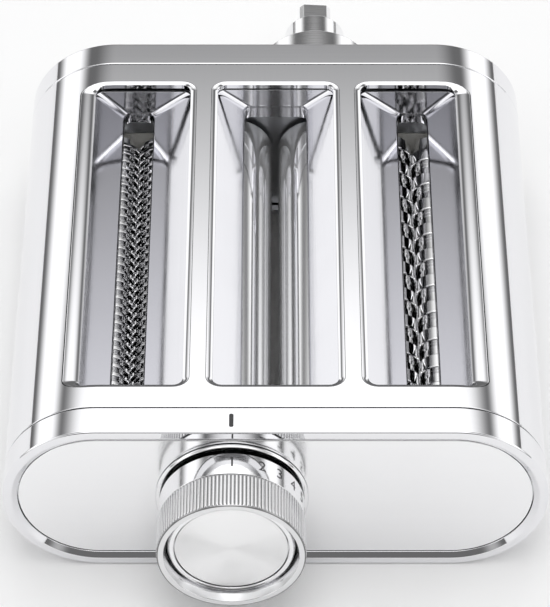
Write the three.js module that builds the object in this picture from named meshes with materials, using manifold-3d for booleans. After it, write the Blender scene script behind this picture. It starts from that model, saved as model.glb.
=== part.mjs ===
// A pasta roller driven by a stand mixer: two sheet rollers, a pair of spaghetti cutters and a
// pair of fettuccine cutters in one polished casing. Millimetres, +Z up.
// X runs across the machine, Y runs from the dial at the front to the drive shaft at the rear.
// Local heights are measured from the middle of the casing, and local Y from its front rim.
import * as THREE from "three";
import { mergeVertices } from "three/addons/utils/BufferGeometryUtils.js";
import Module from "manifold-3d";

const wasm = await Module();
wasm.setup();

// ---- Driving dimensions ----

const BODY_WIDTH = 170;
const BODY_HEIGHT = 60;
const BODY_LENGTH = 186.7;
const SHEET = 2; // casing wall
const GAP = 0.3; // between pieces that touch, and round everything that turns
const ARC_STEPS = 12; // the curve steps of the casing's section

const FRONT_SEAM = 10.8;
const REAR_SEAM = 175.7;
const RIM_FACE = 2.8; // flat band round the front cap
const RIM_INSET = 4.6; // outer edge of the recess that holds the panel
const RIM_DEPTH = 1.2; // from the rim's face to the panel's face
const PANEL_THICKNESS = 2.7;

const FEED_START = 21;
const FEED_END = 165;
const FEED_CORNER = 2;
const HOPPER_SHEET = 1.2;

const FRONT_PLATE = [15, 18];
const REAR_PLATE = [168.3, 171.3];
const PAIR_GEARS = [172.3, 176.8];
const MAIN_GEARS = [177.8, 182.8];

const SHEET_ROLLER_RADIUS = 13.2;
const WIDEST_NIP = 2.1; // dial at 1
const NARROWEST_NIP = 0.3; // dial at 8
const RIGHT_ROLLER_X = 14.05;
const DIAL_SWING = 121; // degrees from 1 to 8
const AXLE_RADIUS = 5;
const ROLLER_JOURNAL = 8;
const SHAFT_RADIUS = 6.5;
const BUSH_RADIUS = 8.7;

const MAIN_TEETH = 16;
const CUTTER_TEETH = 15;
const PAIR_TEETH = 12;
const MAIN_MODULE = 1.6625;
const BACKLASH = 0.22; // taken off each flank at the pitch circle

const CUTTER_RADIUS = 7.5;
const CUTTER_CORE = 5.6;
const CUTTER_SPACING = 13.4;
const CUTTER_JOURNAL = 3;
const CUTTER_KINDS = {
  spaghetti: { side: -1, noodle: 2, ridges: 36, facets: 8 },
  fettuccine: { side: 1, noodle: 6.3, ridges: 12, facets: 12 },
};
const SIDE_CLEARANCE = 0.3; // a ridge is this much narrower than the groove it enters

const DIAL_RADIUS = 22.6;
const GRIP_RADIUS = 23.1;
const GRIP_FRONT = -23.75;
const GRIP_REAR = -10.4;
const DIAL_REAR = -1.6;

const COLLAR_RADIUS = 21;
const COLLAR_END = 206.3;
const SLEEVE_RADIUS = 10.75;
const SLEEVE_END = 227.5;
const SQUARE_WIDTH = 11.1;
const SQUARE_CHAMFER = 1.45;
const SQUARE_TILT = THREE.MathUtils.degToRad(-3.5);
const SHAFT_END = 240;

// ---- Worked out from the driving dimensions ----

const TRAVEL = WIDEST_NIP - NARROWEST_NIP;
const HALF_SWING = THREE.MathUtils.degToRad(DIAL_SWING / 2);
const ECCENTRICITY = TRAVEL / 2 / Math.sin(HALF_SWING);
const LEFT_ROLLER_X = RIGHT_ROLLER_X - 2 * SHEET_ROLLER_RADIUS - WIDEST_NIP;
const KNOB_X = LEFT_ROLLER_X + TRAVEL / 2;
const LEFT_ROLLER_Z = -ECCENTRICITY * Math.cos(HALF_SWING);
const AXIS_Z = -(ECCENTRICITY * (1 + Math.cos(HALF_SWING))) / 2; // mid-height of the left roller's path
const ROLLER_START = FRONT_PLATE[1] + 1.6;
const ROLLER_END = REAR_PLATE[0] - 1.7;
const MIDDLE_Y = (FEED_START + FEED_END) / 2;
const CUTTER_DRIVE = ((MAIN_TEETH + CUTTER_TEETH) / 2) * MAIN_MODULE;
const PAIR_MODULE = CUTTER_SPACING / PAIR_TEETH;
const INNER_CUTTER_X = { "-1": LEFT_ROLLER_X - CUTTER_DRIVE, 1: RIGHT_ROLLER_X + CUTTER_DRIVE };

const FEEDS = {
  spaghetti: { mouth: [-61.3, -28.8], throat: [-51.8, -41.8], top: 26.4, neck: 16.5, lip: 12.5 },
  sheet: { mouth: [-19.7, 19.7], throat: [-10.5, 10.5], top: 27.3, neck: 20, lip: 15 },
  fettuccine: { mouth: [28.8, 61.3], throat: [41.8, 51.8], top: 26.4, neck: 16.5, lip: 12.5 },
};
const EXITS = { spaghetti: [-56.2, -37.2], sheet: [-12, 12], fettuccine: [37.2, 56.2] };
const TIE_RODS = [
  [-25, 19],
  [25, 19],
  [-24, -24],
  [24, -24],
];
const REAR_SCREWS = [
  [-67, 12],
  [67, 12],
  [-67, -12],
  [67, -12],
];

// ---- Materials ----

function finish(color, roughness, metalness) {
  return new THREE.MeshStandardMaterial({ color, roughness, metalness });
}
const POLISHED = finish(0xe9e9ee, 0.08, 1);
const SATIN = finish(0xd2d3d7, 0.28, 1);
const ROLLER_STEEL = finish(0xc8cacf, 0.15, 1);
const CUTTER_STEEL = finish(0x9a9ca1, 0.3, 1);
const PLATE_STEEL = finish(0x8c8f94, 0.45, 1);
const GEAR_STEEL = finish(0x77797d, 0.4, 1);
const SCRAPER_NYLON = finish(0x2a2b2e, 0.6, 0);
const BUSH_NYLON = finish(0xdcd9cf, 0.5, 0);
const SPRING_STEEL = finish(0xa5a7ab, 0.25, 1);

// ---- Shapes ----

// The casing's section: a rectangle with half-round ends, drawn `inset` inside the outer skin.
function stadium(inset, shape = new THREE.Shape()) {
  const radius = BODY_HEIGHT / 2 - inset;
  const centre = (BODY_WIDTH - BODY_HEIGHT) / 2;
  shape.absarc(centre, 0, radius, -Math.PI / 2, Math.PI / 2, false);
  shape.absarc(-centre, 0, radius, Math.PI / 2, 1.5 * Math.PI, false);
  shape.closePath();
  return shape;
}

function roundedSlot([left, right], [start, end], corner) {
  const shape = new THREE.Shape();
  shape.absarc(right - corner, start + corner, corner, -Math.PI / 2, 0, false);
  shape.absarc(right - corner, end - corner, corner, 0, Math.PI / 2, false);
  shape.absarc(left + corner, end - corner, corner, Math.PI / 2, Math.PI, false);
  shape.absarc(left + corner, start + corner, corner, Math.PI, 1.5 * Math.PI, false);
  shape.closePath();
  return shape;
}

function polygon(points) {
  return new THREE.Shape(points.map(([x, y]) => new THREE.Vector2(x, y)));
}

function rectangle([left, right], [start, end]) {
  return polygon([
    [left, start],
    [right, start],
    [right, end],
    [left, end],
  ]);
}

// A link with a large round end at the origin and a small one at `far`.
function link(largeRadius, far, smallRadius) {
  const heading = Math.atan2(far[1], far[0]);
  const shape = new THREE.Shape();
  shape.absarc(0, 0, largeRadius, heading + Math.PI / 2, heading + 1.5 * Math.PI, false);
  shape.absarc(far[0], far[1], smallRadius, heading - Math.PI / 2, heading + Math.PI / 2, false);
  shape.closePath();
  return shape;
}

function roundHole(x, z, radius) {
  return new THREE.Path().absarc(x, z, radius, 0, 2 * Math.PI, false);
}

// A slot with round ends, for a bearing block that holds both cutters of a pair.
function blockOutline(centreX, radius, shape) {
  const half = CUTTER_SPACING / 2;
  shape.absarc(centreX + half, AXIS_Z, radius, -Math.PI / 2, Math.PI / 2, false);
  shape.absarc(centreX - half, AXIS_Z, radius, Math.PI / 2, 1.5 * Math.PI, false);
  shape.closePath();
  return shape;
}

// An involute gear outline with a tooth centred on the angle `phase`, and a round bore.
function gearOutline(teeth, module, bore, phase) {
  const pitchRadius = (teeth * module) / 2;
  const baseRadius = pitchRadius * Math.cos(THREE.MathUtils.degToRad(20));
  const tip = pitchRadius + 0.95 * module;
  const root = pitchRadius - 1.3 * module;
  const involute = (radius) => {
    const pressure = Math.acos(Math.min(1, baseRadius / radius));
    return Math.tan(pressure) - pressure;
  };
  const halfTooth = Math.PI / (2 * teeth) - BACKLASH / pitchRadius;
  const halfAngle = (radius) => halfTooth + involute(pitchRadius) - involute(radius);
  const flank = [root, pitchRadius, tip];
  const points = [];
  for (let tooth = 0; tooth < teeth; tooth++) {
    const centre = phase + (tooth * 2 * Math.PI) / teeth;
    const place = (radius, side) => {
      const narrowing = radius === root ? 0.75 : 1;
      const angle = centre + side * narrowing * halfAngle(Math.max(radius, baseRadius));
      points.push([radius * Math.cos(angle), radius * Math.sin(angle)]);
    };
    flank.forEach((radius) => place(radius, -1));
    [...flank].reverse().forEach((radius) => place(radius, 1));
  }
  const outline = polygon(points);
  outline.holes.push(roundHole(0, 0, bore));
  return outline;
}

// The angle of a tooth on gear b that is in mesh with gear a.
function meshPhase(a, b) {
  const heading = Math.atan2(b.z - a.z, b.x - a.x);
  const lead = a.phase - heading;
  return heading + Math.PI - (lead * a.teeth) / b.teeth + Math.PI / b.teeth;
}

// ---- Solids ----

// Extrudes a shape drawn in X and Z from `start` to `end` along Y.
function alongY(shape, [start, end], curveSegments = 6) {
  const depth = end - start;
  const geometry = new THREE.ExtrudeGeometry(shape, { depth, bevelEnabled: false, curveSegments });
  return geometry.rotateX(Math.PI / 2).translate(0, end, 0);
}

// Extrudes a shape drawn in X and Y upwards from `low` to `high`.
function upward(shape, [low, high]) {
  const depth = high - low;
  const geometry = new THREE.ExtrudeGeometry(shape, { depth, bevelEnabled: false, curveSegments: 3 });
  return geometry.translate(0, 0, low);
}

// Turns a profile of [radius, y] points round the Y axis.
function turned(profile, facets = 16) {
  return new THREE.LatheGeometry(
    profile.map(([radius, y]) => new THREE.Vector2(radius, y)),
    facets,
  );
}

function ring(inner, outer, [start, end], facets = 16) {
  return turned(
    [
      [inner, start],
      [outer, start],
      [outer, end],
      [inner, end],
      [inner, start],
    ],
    facets,
  );
}

function rod(radius, [start, end], facets = 16) {
  return turned(
    [
      [0, start],
      [radius, start],
      [radius, end],
      [0, end],
    ],
    facets,
  );
}

function solid(geometry) {
  const bare = geometry.clone();
  bare.deleteAttribute("normal");
  bare.deleteAttribute("uv");
  const merged = mergeVertices(bare, 1e-4);
  return new wasm.Manifold(
    new wasm.Mesh({
      numProp: 3,
      vertProperties: merged.attributes.position.array,
      triVerts: new Uint32Array(merged.index.array),
    }),
  );
}

function geometryOf(manifold) {
  const mesh = manifold.getMesh();
  const geometry = new THREE.BufferGeometry();
  geometry.setAttribute("position", new THREE.BufferAttribute(mesh.vertProperties, 3));
  geometry.setIndex(new THREE.BufferAttribute(mesh.triVerts, 1));
  return geometry;
}

function cut(geometry, ...tools) {
  return geometryOf(tools.reduce((left, tool) => left.subtract(solid(tool)), solid(geometry)));
}

function joined(...geometries) {
  return geometryOf(geometries.map(solid).reduce((a, b) => a.add(b)));
}

// ---- Casing ----

// A solid with the casing's section, `inset` inside its outer skin.
function casing(inset, span) {
  return alongY(stadium(inset), span, ARC_STEPS);
}

function housingShell() {
  const span = [FRONT_SEAM + GAP / 2, REAR_SEAM - GAP / 2];
  const past = [span[0] - 1, span[1] + 1];
  const length = [FEED_START, FEED_END];
  const half = BODY_HEIGHT / 2;
  const mouths = Object.values(FEEDS).map((feed) =>
    upward(roundedSlot(feed.mouth, length, FEED_CORNER), [half - 6, half + 1]),
  );
  const exits = Object.values(EXITS).map((exit) =>
    upward(rectangle(exit, length), [-half - 1, -half + 6]),
  );
  return cut(casing(0, span), casing(SHEET, past), ...mouths, ...exits);
}

function frontCap() {
  const bevel = new THREE.ExtrudeGeometry(stadium(RIM_INSET), {
    depth: 1,
    bevelThickness: RIM_DEPTH,
    bevelSize: RIM_INSET - RIM_FACE,
    bevelSegments: 1,
    curveSegments: ARC_STEPS,
  });
  bevel.rotateX(Math.PI / 2);
  const web = [RIM_DEPTH + PANEL_THICKNESS + GAP, 6.5];
  return cut(
    casing(0, [0, FRONT_SEAM - GAP / 2]),
    bevel,
    casing(RIM_INSET, [-1, web[0]]),
    casing(SHEET, [web[1], FRONT_SEAM + 1]),
    rod(ROLLER_JOURNAL, [web[0] - 1, web[1] + 1]).translate(KNOB_X, 0, 0),
  );
}

function frontPanel() {
  const outline = stadium(RIM_INSET + GAP);
  outline.holes.push(roundHole(KNOB_X, 0, AXLE_RADIUS));
  return alongY(outline, [RIM_DEPTH, RIM_DEPTH + PANEL_THICKNESS], ARC_STEPS);
}

function rearCap() {
  const wall = BODY_LENGTH - SHEET;
  const through = [wall - 1, BODY_LENGTH + 1];
  const screwHoles = REAR_SCREWS.map(([x, z]) => rod(2.2, through, 8).translate(x, 0, z));
  return cut(
    casing(0, [REAR_SEAM + GAP / 2, BODY_LENGTH]),
    casing(SHEET, [REAR_SEAM - 1, wall]),
    rod(SHAFT_RADIUS + 1, through).translate(RIGHT_ROLLER_X, 0, AXIS_Z),
    rod(4.2, through).translate(KNOB_X, 0, 0),
    ...screwHoles,
  );
}

// The collar slides over the sleeve, and both stand on the rear cap.
function hubCollar() {
  const bore = SLEEVE_RADIUS + GAP;
  const edge = 0.6;
  return turned(
    [
      [bore, BODY_LENGTH + GAP],
      [COLLAR_RADIUS, BODY_LENGTH + GAP],
      [COLLAR_RADIUS, COLLAR_END - edge],
      [COLLAR_RADIUS - edge, COLLAR_END],
      [bore, COLLAR_END],
      [bore, BODY_LENGTH + GAP],
    ],
    32,
  );
}

function hubSleeve() {
  return ring(SHAFT_RADIUS + 2 * GAP, SLEEVE_RADIUS, [BODY_LENGTH + GAP, SLEEVE_END], 32);
}

// A hopper: two sloping sides that end in upright lips, and two upright ends.
function hopper({ mouth, throat, top, neck, lip }) {
  const section = (grow, over) =>
    polygon([
      [mouth[0] - grow, top + over],
      [mouth[0] - grow, top],
      [throat[0] - grow, neck],
      [throat[0] - grow, lip - over],
      [throat[1] + grow, lip - over],
      [throat[1] + grow, neck],
      [mouth[1] + grow, top],
      [mouth[1] + grow, top + over],
    ]);
  const outside = polygon([
    [mouth[0] - HOPPER_SHEET, top],
    [throat[0] - HOPPER_SHEET, neck],
    [throat[0] - HOPPER_SHEET, lip],
    [throat[1] + HOPPER_SHEET, lip],
    [throat[1] + HOPPER_SHEET, neck],
    [mouth[1] + HOPPER_SHEET, top],
  ]);
  const length = [FEED_START - HOPPER_SHEET, FEED_END + HOPPER_SHEET];
  return cut(alongY(outside, length), alongY(section(0, 1), [FEED_START, FEED_END]));
}

// ---- Frame ----

const PAIR_CENTRE = Object.fromEntries(
  [-1, 1].map((side) => [side, INNER_CUTTER_X[side] + (side * CUTTER_SPACING) / 2]),
);
const BLOCK_RADIUS = 5.5;

function framePlate(span, axleHole) {
  const outline = stadium(SHEET + 2 * GAP);
  outline.holes.push(roundHole(KNOB_X, 0, axleHole));
  outline.holes.push(roundHole(RIGHT_ROLLER_X, AXIS_Z, BUSH_RADIUS + 2 * GAP));
  for (const side of [-1, 1]) {
    outline.holes.push(blockOutline(PAIR_CENTRE[side], BLOCK_RADIUS + GAP, new THREE.Path()));
  }
  for (const [x, z] of TIE_RODS) outline.holes.push(roundHole(x, z, 2.3));
  return alongY(outline, span);
}

// Both cutters of a pair run in one nylon block.
function bearingBlock(side, span) {
  const outline = blockOutline(PAIR_CENTRE[side], BLOCK_RADIUS, new THREE.Shape());
  for (const offset of [-CUTTER_SPACING / 2, CUTTER_SPACING / 2]) {
    const hole = roundHole(PAIR_CENTRE[side] + offset, AXIS_Z, CUTTER_JOURNAL + GAP);
    outline.holes.push(hole);
  }
  return alongY(outline, span, 5);
}

function tieRod() {
  const [start, end] = [FRONT_PLATE[0] - GAP, REAR_PLATE[1] + GAP];
  const [shoulder, farShoulder] = [FRONT_PLATE[1] + GAP, REAR_PLATE[0] - GAP];
  return turned(
    [
      [0, start],
      [2, start],
      [2, shoulder],
      [3, shoulder],
      [3, farShoulder],
      [2, farShoulder],
      [2, end],
      [0, end],
    ],
    8,
  );
}

function rearScrew() {
  const head = BODY_LENGTH + GAP;
  return turned(
    [
      [0, REAR_PLATE[1] + GAP],
      [1.9, REAR_PLATE[1] + GAP],
      [1.9, head],
      [3.8, head],
      [3.8, head + 1.2],
      [2.6, head + 2],
      [0, head + 2.2],
    ],
    10,
  );
}

// ---- Sheet rollers ----

function leftRoller() {
  const bore = AXLE_RADIUS + GAP;
  const [start, end] = [FRONT_PLATE[1] + GAP, MAIN_GEARS[1]];
  return turned(
    [
      [bore, start],
      [ROLLER_JOURNAL, start],
      [ROLLER_JOURNAL, ROLLER_START],
      [SHEET_ROLLER_RADIUS, ROLLER_START],
      [SHEET_ROLLER_RADIUS, ROLLER_END],
      [ROLLER_JOURNAL, ROLLER_END],
      [ROLLER_JOURNAL, end],
      [bore, end],
      [bore, start],
    ],
    32,
  );
}

function rightRoller() {
  return ring(SHAFT_RADIUS + GAP, SHEET_ROLLER_RADIUS, [ROLLER_START, ROLLER_END], 32);
}

function chamferedSquare(width, chamfer) {
  const half = width / 2;
  const flat = half - chamfer;
  return polygon([
    [flat, -half],
    [half, -flat],
    [half, flat],
    [flat, half],
    [-flat, half],
    [-half, flat],
    [-half, -flat],
    [-flat, -half],
  ]);
}

function driveShaft() {
  const squareStart = SLEEVE_END + GAP;
  const square = alongY(chamferedSquare(SQUARE_WIDTH, SQUARE_CHAMFER), [squareStart, SHAFT_END]);
  return joined(
    rod(SHAFT_RADIUS, [FRONT_PLATE[0] - GAP, squareStart + 1]),
    square.rotateY(-SQUARE_TILT),
  );
}

// The adjusting axle: its long middle is off centre, so turning it moves the left roller.
function eccentricAxle() {
  const end = 3.9;
  const offset = [LEFT_ROLLER_X - KNOB_X, 0, LEFT_ROLLER_Z];
  const square = alongY(chamferedSquare(5.5, 0.3), [-14.9, 1]);
  return cut(
    joined(
      square,
      rod(end, [0, FRONT_PLATE[1] + 1]),
      rod(AXLE_RADIUS, [FRONT_PLATE[1] + GAP, MAIN_GEARS[1] + GAP]).translate(...offset),
      rod(end, [MAIN_GEARS[1] - 1, BODY_LENGTH - GAP]),
    ),
    rod(1.8, [-16, -9], 12),
  );
}

const SCRAPER_TIP = [6.8, -11.8];
const SCRAPER_FOOT = [13.4, -17.9];

// A nylon blade whose edge lies along the underside of a sheet roller.
function scraper(side) {
  const thickness = 1.2;
  const [dx, dz] = [SCRAPER_FOOT[0] - SCRAPER_TIP[0], SCRAPER_FOOT[1] - SCRAPER_TIP[1]];
  const length = Math.hypot(dx, dz);
  const [ox, oz] = [(dz / length) * thickness, (-dx / length) * thickness];
  const outline = [
    SCRAPER_TIP,
    [SCRAPER_TIP[0] + ox, SCRAPER_TIP[1] + oz],
    [SCRAPER_FOOT[0] + ox, SCRAPER_FOOT[1] + oz],
    SCRAPER_FOOT,
  ];
  const points = outline.map(([x, z]) => [side * x, z]);
  return alongY(polygon(side > 0 ? points : points.reverse()), [ROLLER_START, ROLLER_END]);
}

// Hangs the left scraper on the left roller's journal, so that it moves with the roller.
function scraperHanger(span) {
  const outline = link(ROLLER_JOURNAL + 2, [-12, -16.6], 2.2);
  outline.holes.push(roundHole(0, 0, ROLLER_JOURNAL + GAP));
  return alongY(outline, span);
}

// ---- Cutters ----

// A cutter's ridges are as wide as a noodle and the same distance apart.
function cutter(kind, isInner) {
  const { noodle, facets } = CUTTER_KINDS[kind];
  const ridges = CUTTER_KINDS[kind].ridges - (isInner ? 0 : 1);
  const width = noodle - SIDE_CLEARANCE;
  const end = isInner ? MAIN_GEARS[1] + GAP : PAIR_GEARS[1] + GAP;
  const profile = [
    [0, FRONT_PLATE[0]],
    [CUTTER_JOURNAL, FRONT_PLATE[0]],
    [CUTTER_JOURNAL, ROLLER_START],
    [CUTTER_CORE, ROLLER_START],
  ];
  for (let ridge = 0; ridge < ridges; ridge++) {
    const start = MIDDLE_Y + (ridge - (ridges - 1) / 2) * 2 * noodle - width / 2;
    profile.push(
      [CUTTER_CORE, start],
      [CUTTER_RADIUS, start],
      [CUTTER_RADIUS, start + width],
      [CUTTER_CORE, start + width],
    );
  }
  profile.push(
    [CUTTER_CORE, ROLLER_END],
    [CUTTER_JOURNAL, ROLLER_END],
    [CUTTER_JOURNAL, end],
    [0, end],
  );
  return turned(profile, facets);
}

// A flat steel comb: one finger in each groove of its cutter lifts the noodles out.
function comb(kind, isInner) {
  const { noodle } = CUTTER_KINDS[kind];
  const grooves = CUTTER_KINDS[kind].ridges - (isInner ? 1 : 2);
  const finger = 0.6 * noodle;
  const [tip, bar, back] = [CUTTER_CORE + 2 * GAP, CUTTER_RADIUS + 1, CUTTER_RADIUS + 4];
  const thickness = 1;
  const points = [[ROLLER_START, bar]];
  for (let groove = 0; groove < grooves; groove++) {
    const start = MIDDLE_Y + (groove - (grooves - 1) / 2) * 2 * noodle - finger / 2;
    points.push([start, bar], [start, tip], [start + finger, tip], [start + finger, bar]);
  }
  points.push([ROLLER_END, bar], [ROLLER_END, back], [ROLLER_START, back]);
  const options = { depth: thickness, bevelEnabled: false };
  return new THREE.ExtrudeGeometry(polygon(points), options).translate(0, 0, -thickness / 2);
}

// ---- Dial and knob ----

function dialPlate() {
  const [floor, back] = [0.5, RIM_DEPTH - GAP];
  return turned(
    [
      [AXLE_RADIUS, floor],
      [22.3, floor],
      [22.5, -0.1],
      [23.5, -0.1],
      [23.9, 0.3],
      [23.9, back],
      [AXLE_RADIUS, back],
      [AXLE_RADIUS, floor],
    ],
    40,
  );
}

const DIAL_FLOOR = [-8.1, -5.9];

function dialSkirt() {
  const front = GRIP_REAR + GAP;
  const body = turned(
    [
      [0, DIAL_FLOOR[0]],
      [20.9, DIAL_FLOOR[0]],
      [20.9, front],
      [DIAL_RADIUS, front],
      [DIAL_RADIUS, DIAL_REAR],
      [20.6, DIAL_REAR],
      [20.6, DIAL_FLOOR[1]],
      [0, DIAL_FLOOR[1]],
    ],
    40,
  );
  return cut(body, alongY(chamferedSquare(6.2, 0.3), [-12, 0]));
}

const KNOB_WEB = [-19.4, -17.4];

function knobGrip() {
  const edge = 0.4;
  return turned(
    [
      [0, KNOB_WEB[0]],
      [19.7, KNOB_WEB[0]],
      [20.9, GRIP_FRONT],
      [GRIP_RADIUS - edge, GRIP_FRONT],
      [GRIP_RADIUS, GRIP_FRONT + edge],
      [GRIP_RADIUS, GRIP_REAR],
      [21.2, GRIP_REAR],
      [21.2, KNOB_WEB[1]],
      [0, KNOB_WEB[1]],
    ],
    40,
  );
}

function retainingScrew() {
  return turned(
    [
      [0, -16.9],
      [5.6, -16.9],
      [6.5, -16.2],
      [6.5, -15.2],
      [1.5, -15.2],
      [1.5, -10],
      [0, -10],
    ],
    12,
  );
}

// The return spring, wound between the screw's head and the dial's floor.
function knobSpring() {
  const [radius, wire, turns, steps] = [5.6, 0.55, 3, 36];
  const [start, end] = [-15.2 + GAP + wire, DIAL_FLOOR[0] - GAP - wire];
  const points = [];
  for (let step = 0; step <= steps; step++) {
    const angle = (step / steps) * turns * 2 * Math.PI;
    const y = start + (step / steps) * (end - start);
    points.push(new THREE.Vector3(radius * Math.cos(angle), y, radius * Math.sin(angle)));
  }
  const section = new THREE.Shape();
  section.absarc(0, 0, wire, 0, 2 * Math.PI, false);
  return new THREE.ExtrudeGeometry(section, {
    steps,
    curveSegments: 3,
    bevelEnabled: false,
    extrudePath: new THREE.CatmullRomCurve3(points),
  });
}

// ---- Assembly ----

const machine = new THREE.Group();
machine.position.set(0, -(GRIP_FRONT + SHAFT_END) / 2, BODY_HEIGHT / 2);

function place(name, geometry, material, x = 0, z = 0) {
  const mesh = new THREE.Mesh(geometry, material);
  mesh.name = name;
  mesh.position.set(x, 0, z);
  machine.add(mesh);
  return mesh;
}

place("housing_shell", housingShell(), POLISHED);
place("front_cap", frontCap(), POLISHED);
place("front_panel", frontPanel(), POLISHED);
place("rear_cap", rearCap(), POLISHED);
place("hub_collar", hubCollar(), SATIN, RIGHT_ROLLER_X, AXIS_Z);
place("hub_sleeve", hubSleeve(), SATIN, RIGHT_ROLLER_X, AXIS_Z);
for (const [name, feed] of Object.entries(FEEDS)) place(`${name}_hopper`, hopper(feed), SATIN);

const journalHole = ROLLER_JOURNAL + ECCENTRICITY + 2 * GAP;
const axleBushRadius = 6.4;
place("front_plate", framePlate(FRONT_PLATE, axleBushRadius + GAP), PLATE_STEEL);
place("rear_plate", framePlate(REAR_PLATE, journalHole), PLATE_STEEL);
TIE_RODS.forEach(([x, z], i) => place(`tie_rod_${i + 1}`, tieRod(), PLATE_STEEL, x, z));
REAR_SCREWS.forEach(([x, z], i) => place(`rear_screw_${i + 1}`, rearScrew(), SATIN, x, z));
place("axle_bush", ring(3.9 + GAP, axleBushRadius, FRONT_PLATE), BUSH_NYLON, KNOB_X);
for (const [end, span] of [["front", FRONT_PLATE], ["rear", REAR_PLATE]]) {
  const bush = ring(SHAFT_RADIUS + GAP, BUSH_RADIUS, span);
  place(`drive_bush_${end}`, bush, BUSH_NYLON, RIGHT_ROLLER_X, AXIS_Z);
}

place("right_sheet_roller", rightRoller(), ROLLER_STEEL, RIGHT_ROLLER_X, AXIS_Z);
place("drive_shaft", driveShaft(), SATIN, RIGHT_ROLLER_X, AXIS_Z);
place("right_scraper", scraper(1), SCRAPER_NYLON, RIGHT_ROLLER_X, AXIS_Z);
place("left_sheet_roller", leftRoller(), ROLLER_STEEL, LEFT_ROLLER_X, LEFT_ROLLER_Z);
place("left_scraper", scraper(-1), SCRAPER_NYLON, LEFT_ROLLER_X, LEFT_ROLLER_Z);
const hangerSpans = {
  front: [FRONT_PLATE[1] + GAP, ROLLER_START - GAP],
  rear: [ROLLER_END + GAP, REAR_PLATE[0] - GAP],
};
for (const [end, span] of Object.entries(hangerSpans)) {
  place(`scraper_hanger_${end}`, scraperHanger(span), PLATE_STEEL, LEFT_ROLLER_X, LEFT_ROLLER_Z);
}
place("eccentric_axle", eccentricAxle(), PLATE_STEEL, KNOB_X);

// Main gears: the drive gear turns the left roller's gear and the fettuccine gear, and the left
// roller's gear turns the spaghetti gear.
const driveGear = { teeth: MAIN_TEETH, x: RIGHT_ROLLER_X, z: AXIS_Z, phase: 0 };
const leftGear = { teeth: MAIN_TEETH, x: LEFT_ROLLER_X, z: LEFT_ROLLER_Z };
leftGear.phase = meshPhase(driveGear, leftGear);
const sourceGear = { spaghetti: leftGear, fettuccine: driveGear };

function placeMainGear(name, gear, bore) {
  const outline = gearOutline(gear.teeth, MAIN_MODULE, bore, gear.phase);
  place(name, alongY(outline, MAIN_GEARS), GEAR_STEEL, gear.x, gear.z);
}
placeMainGear("drive_gear", driveGear, SHAFT_RADIUS + GAP);
placeMainGear("left_roller_gear", leftGear, ROLLER_JOURNAL + GAP);

for (const [kind, { side }] of Object.entries(CUTTER_KINDS)) {
  const innerX = INNER_CUTTER_X[side];
  const outerX = innerX + side * CUTTER_SPACING;
  const inputGear = { teeth: CUTTER_TEETH, x: innerX, z: AXIS_Z };
  inputGear.phase = meshPhase(sourceGear[kind], inputGear);
  placeMainGear(`${kind}_gear`, inputGear, CUTTER_JOURNAL + GAP);

  const pairGears = { inner: { teeth: PAIR_TEETH, x: innerX, z: AXIS_Z, phase: 0 } };
  pairGears.outer = { teeth: PAIR_TEETH, x: outerX, z: AXIS_Z };
  pairGears.outer.phase = meshPhase(pairGears.inner, pairGears.outer);
  for (const [rank, gear] of Object.entries(pairGears)) {
    const outline = gearOutline(PAIR_TEETH, PAIR_MODULE, CUTTER_JOURNAL + GAP, gear.phase);
    const geometry = alongY(outline, PAIR_GEARS);
    place(`${kind}_pair_gear_${rank}`, geometry, GEAR_STEEL, gear.x, AXIS_Z);
    const isInner = rank === "inner";
    place(`${kind}_cutter_${rank}`, cutter(kind, isInner), CUTTER_STEEL, gear.x, AXIS_Z);

    const lean = THREE.MathUtils.degToRad(-90 + side * (isInner ? -35 : 35));
    const stripper = place(`${kind}_comb_${rank}`, comb(kind, isInner), SATIN, gear.x, AXIS_Z);
    const basis = new THREE.Matrix4().makeBasis(
      new THREE.Vector3(0, 1, 0),
      new THREE.Vector3(Math.cos(lean), 0, Math.sin(lean)),
      new THREE.Vector3(Math.sin(lean), 0, -Math.cos(lean)),
    );
    stripper.setRotationFromMatrix(basis);
  }
  place(`${kind}_block_front`, bearingBlock(side, FRONT_PLATE), BUSH_NYLON);
  place(`${kind}_block_rear`, bearingBlock(side, REAR_PLATE), BUSH_NYLON);
}

place("dial_plate", dialPlate(), SATIN, KNOB_X);
place("dial_skirt", dialSkirt(), POLISHED, KNOB_X);
place("knob_grip", knobGrip(), SATIN, KNOB_X);
place("knob_bezel", ring(17.8, 19.3, [-20.9, KNOB_WEB[0] - GAP], 32), POLISHED, KNOB_X);
place("knob_disc", rod(17.5, [-20.5, KNOB_WEB[0] - GAP], 32), SATIN, KNOB_X);
place("retaining_screw", retainingScrew(), SATIN, KNOB_X);
place("knob_spring", knobSpring(), SPRING_STEEL, KNOB_X);
place("index_pin", rod(1.3, [DIAL_FLOOR[1] + GAP, 0.2], 8), SATIN, KNOB_X - 14, -6);

export default machine;
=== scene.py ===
"""The looks of a pasta roller for a stand mixer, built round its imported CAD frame."""

import math

import bpy
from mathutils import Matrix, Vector
from mathutils.geometry import delaunay_2d_cdt, tessellate_polygon


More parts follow.
